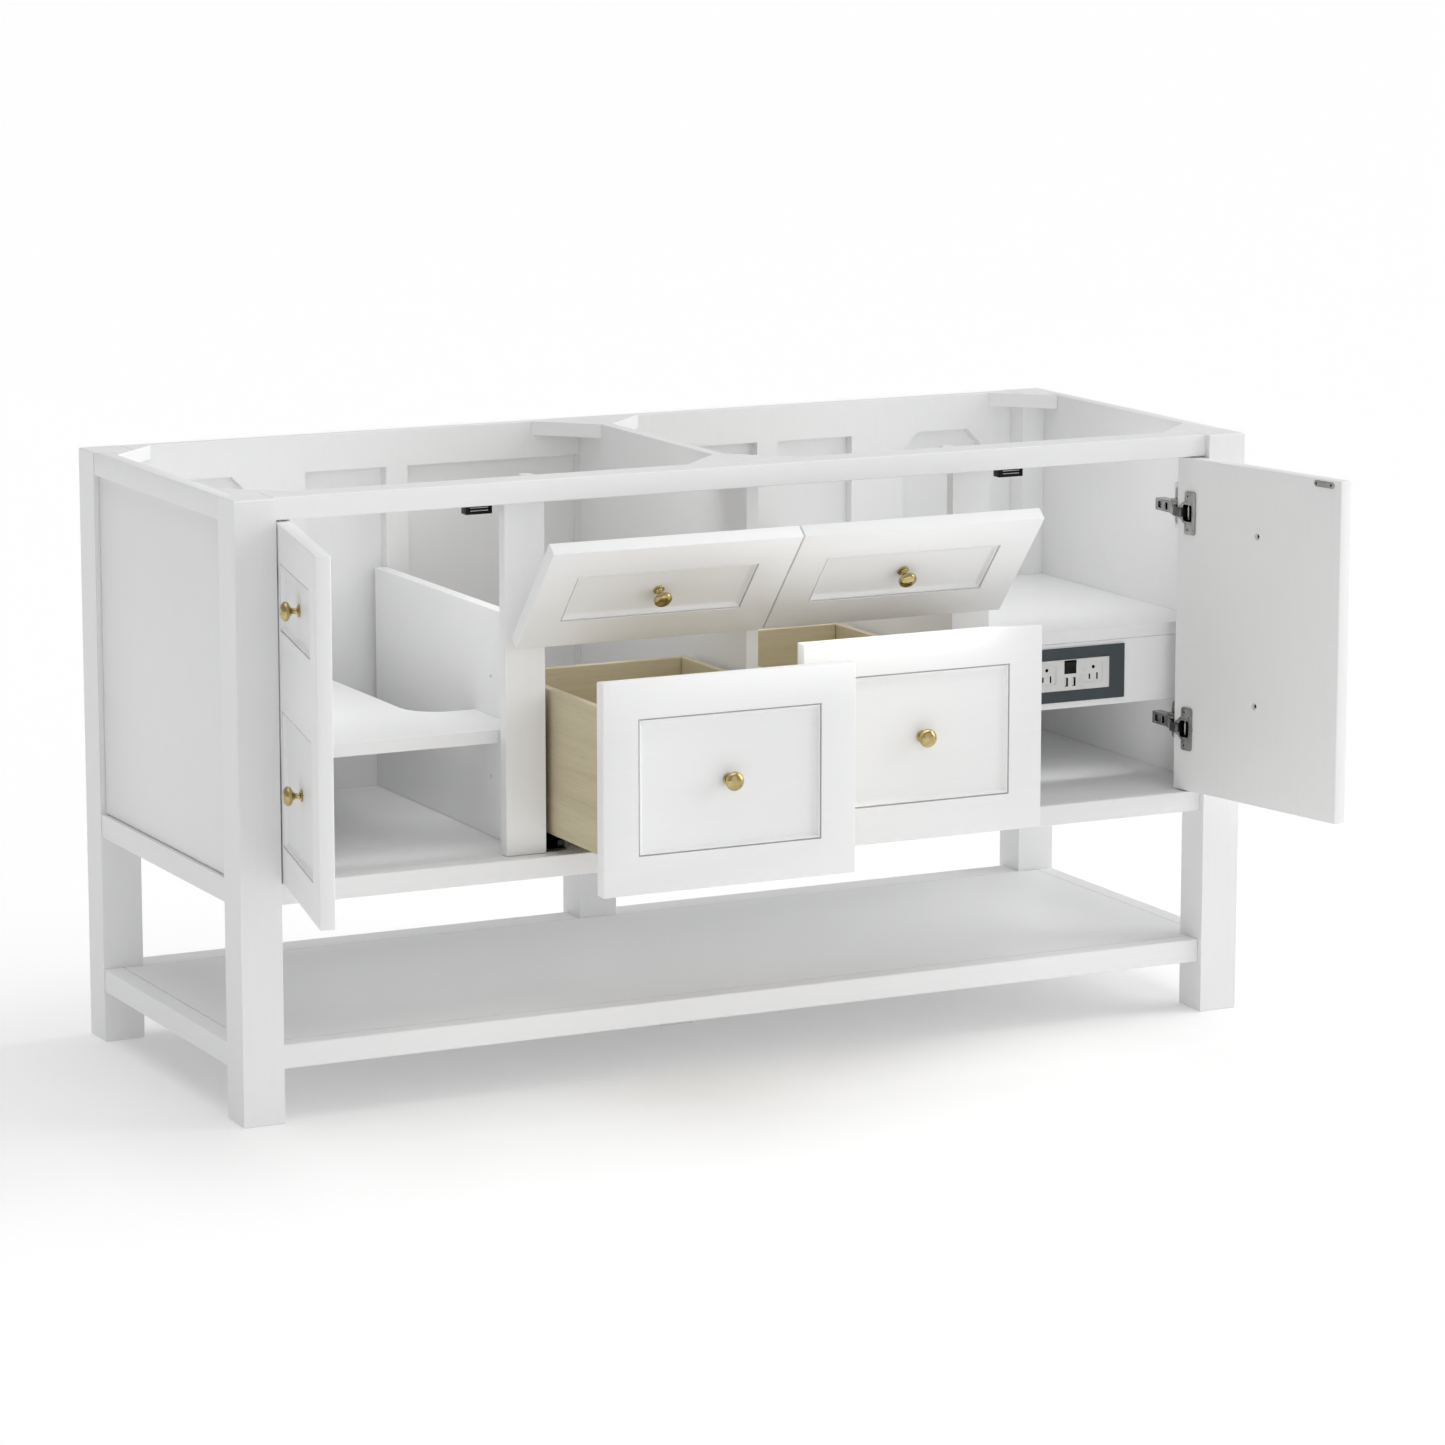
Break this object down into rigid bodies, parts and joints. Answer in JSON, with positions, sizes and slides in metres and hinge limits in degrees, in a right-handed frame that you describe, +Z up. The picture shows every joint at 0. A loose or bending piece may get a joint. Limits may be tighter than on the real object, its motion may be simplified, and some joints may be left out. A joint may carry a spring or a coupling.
{
  "type": "bathroom vanity cabinet",
  "caption": "White free-standing bathroom vanity cabinet for two sinks, with inset doors, tilt-out fronts, drawers, a power strip in one bay and an open shelf near the floor.",
  "frame": {"origin": "on the floor, at the middle of the underside of the lower shelf's centre foot, which is the middle of the cabinet", "axes": "+X to the cabinet's right as seen from the front, +Y to its back, +Z up; the doors, drawers and tilt-out fronts face -Y"},
  "size_m": [1.527, 0.8793, 0.832],
  "materials": {
    "white_paint": "satin white paint on wood",
    "birch_ply": "clear-coated birch plywood",
    "brass": "brushed satin brass",
    "nickel": "nickel-plated steel",
    "slate_plastic": "dark slate moulded plastic",
    "outlet_plastic": "white moulded plastic",
    "black_plastic": "black moulded plastic"
  },
  "bodies": {
    "cabinet": {"leg_front_left": "white_paint", "leg_front_right": "white_paint", "leg_rear_left": "white_paint", "leg_rear_right": "white_paint", "leg_rear_centre": "white_paint", "foot_centre": "white_paint", "side_frame_left": "white_paint", "side_frame_right": "white_paint", "front_rail_top": "white_paint", "front_rail_bottom": "white_paint", "cabinet_floor": "white_paint", "back_frame": "white_paint", "back_panel": "white_paint", "centre_partition": "white_paint", "divider_left": "white_paint", "divider_right": "white_paint", "stile_left": "white_paint", "stile_right": "white_paint", "brace_front_outer_left": "white_paint", "brace_front_outer_right": "white_paint", "brace_front_inner_left": "white_paint", "brace_front_inner_right": "white_paint", "brace_rear_outer_left": "white_paint", "brace_rear_outer_right": "white_paint", "brace_rear_inner_left": "white_paint", "brace_rear_inner_right": "white_paint", "lower_shelf": "white_paint", "shelf_left": "white_paint", "shelf_right": "white_paint", "power_box": "white_paint", "power_bezel": "slate_plastic", "outlet_strip": "outlet_plastic", "hinge_arm_left_upper": "nickel", "hinge_arm_left_lower": "nickel", "hinge_arm_right_upper": "nickel", "hinge_arm_right_lower": "nickel", "door_catch_left": "black_plastic", "door_catch_right": "black_plastic"},
    "left_door": {"door_left": "white_paint", "door_left_knob_lower": "brass", "door_left_knob_upper": "brass", "hinge_cup_left_upper": "nickel", "hinge_cup_left_lower": "nickel"},
    "right_door": {"door_right": "white_paint", "door_right_knob_lower": "brass", "door_right_knob_upper": "brass", "hinge_cup_right_upper": "nickel", "hinge_cup_right_lower": "nickel"},
    "left_tilt_front": {"tilt_front_left": "white_paint", "tilt_front_knob_left": "brass"},
    "right_tilt_front": {"tilt_front_right": "white_paint", "tilt_front_knob_right": "brass"},
    "left_drawer": {"drawer_front_left": "white_paint", "drawer_box_left": "birch_ply", "drawer_knob_left": "brass"},
    "right_drawer": {"drawer_front_right": "white_paint", "drawer_box_right": "birch_ply", "drawer_knob_right": "brass"},
    "power_switch": {"rocker_switch": "black_plastic"}
  },
  "joints": [
    {"name": "left_door_hinge", "type": "hinge", "parent": "cabinet", "child": "left_door", "pos_m": [-0.685, -0.2715, 0.5675], "axis": [0, 0, 1], "range_deg": [-2.4, 102.6]},
    {"name": "right_door_hinge", "type": "hinge", "parent": "cabinet", "child": "right_door", "pos_m": [0.685, -0.2715, 0.5675], "axis": [0, 0, -1], "range_deg": [-4, 101]},
    {"name": "left_tilt_hinge", "type": "hinge", "parent": "cabinet", "child": "left_tilt_front", "pos_m": [-0.18425, -0.287, 0.5944], "axis": [1, 0, 0], "range_deg": [-40.6, 0]},
    {"name": "right_tilt_hinge", "type": "hinge", "parent": "cabinet", "child": "right_tilt_front", "pos_m": [0.18425, -0.287, 0.5944], "axis": [1, 0, 0], "range_deg": [-40.6, 0]},
    {"name": "left_drawer_slide", "type": "slide", "parent": "cabinet", "child": "left_drawer", "axis": [0, 1, 0], "range_m": [-0.0965, 0.2835]},
    {"name": "right_drawer_slide", "type": "slide", "parent": "cabinet", "child": "right_drawer", "axis": [0, 1, 0], "range_m": [-0.249, 0.131]},
    {"name": "power_switch_rocker", "type": "hinge", "parent": "cabinet", "child": "power_switch", "pos_m": [0.517, -0.231, 0.507], "axis": [1, 0, 0], "range_deg": [-16, 0]}
  ]
}
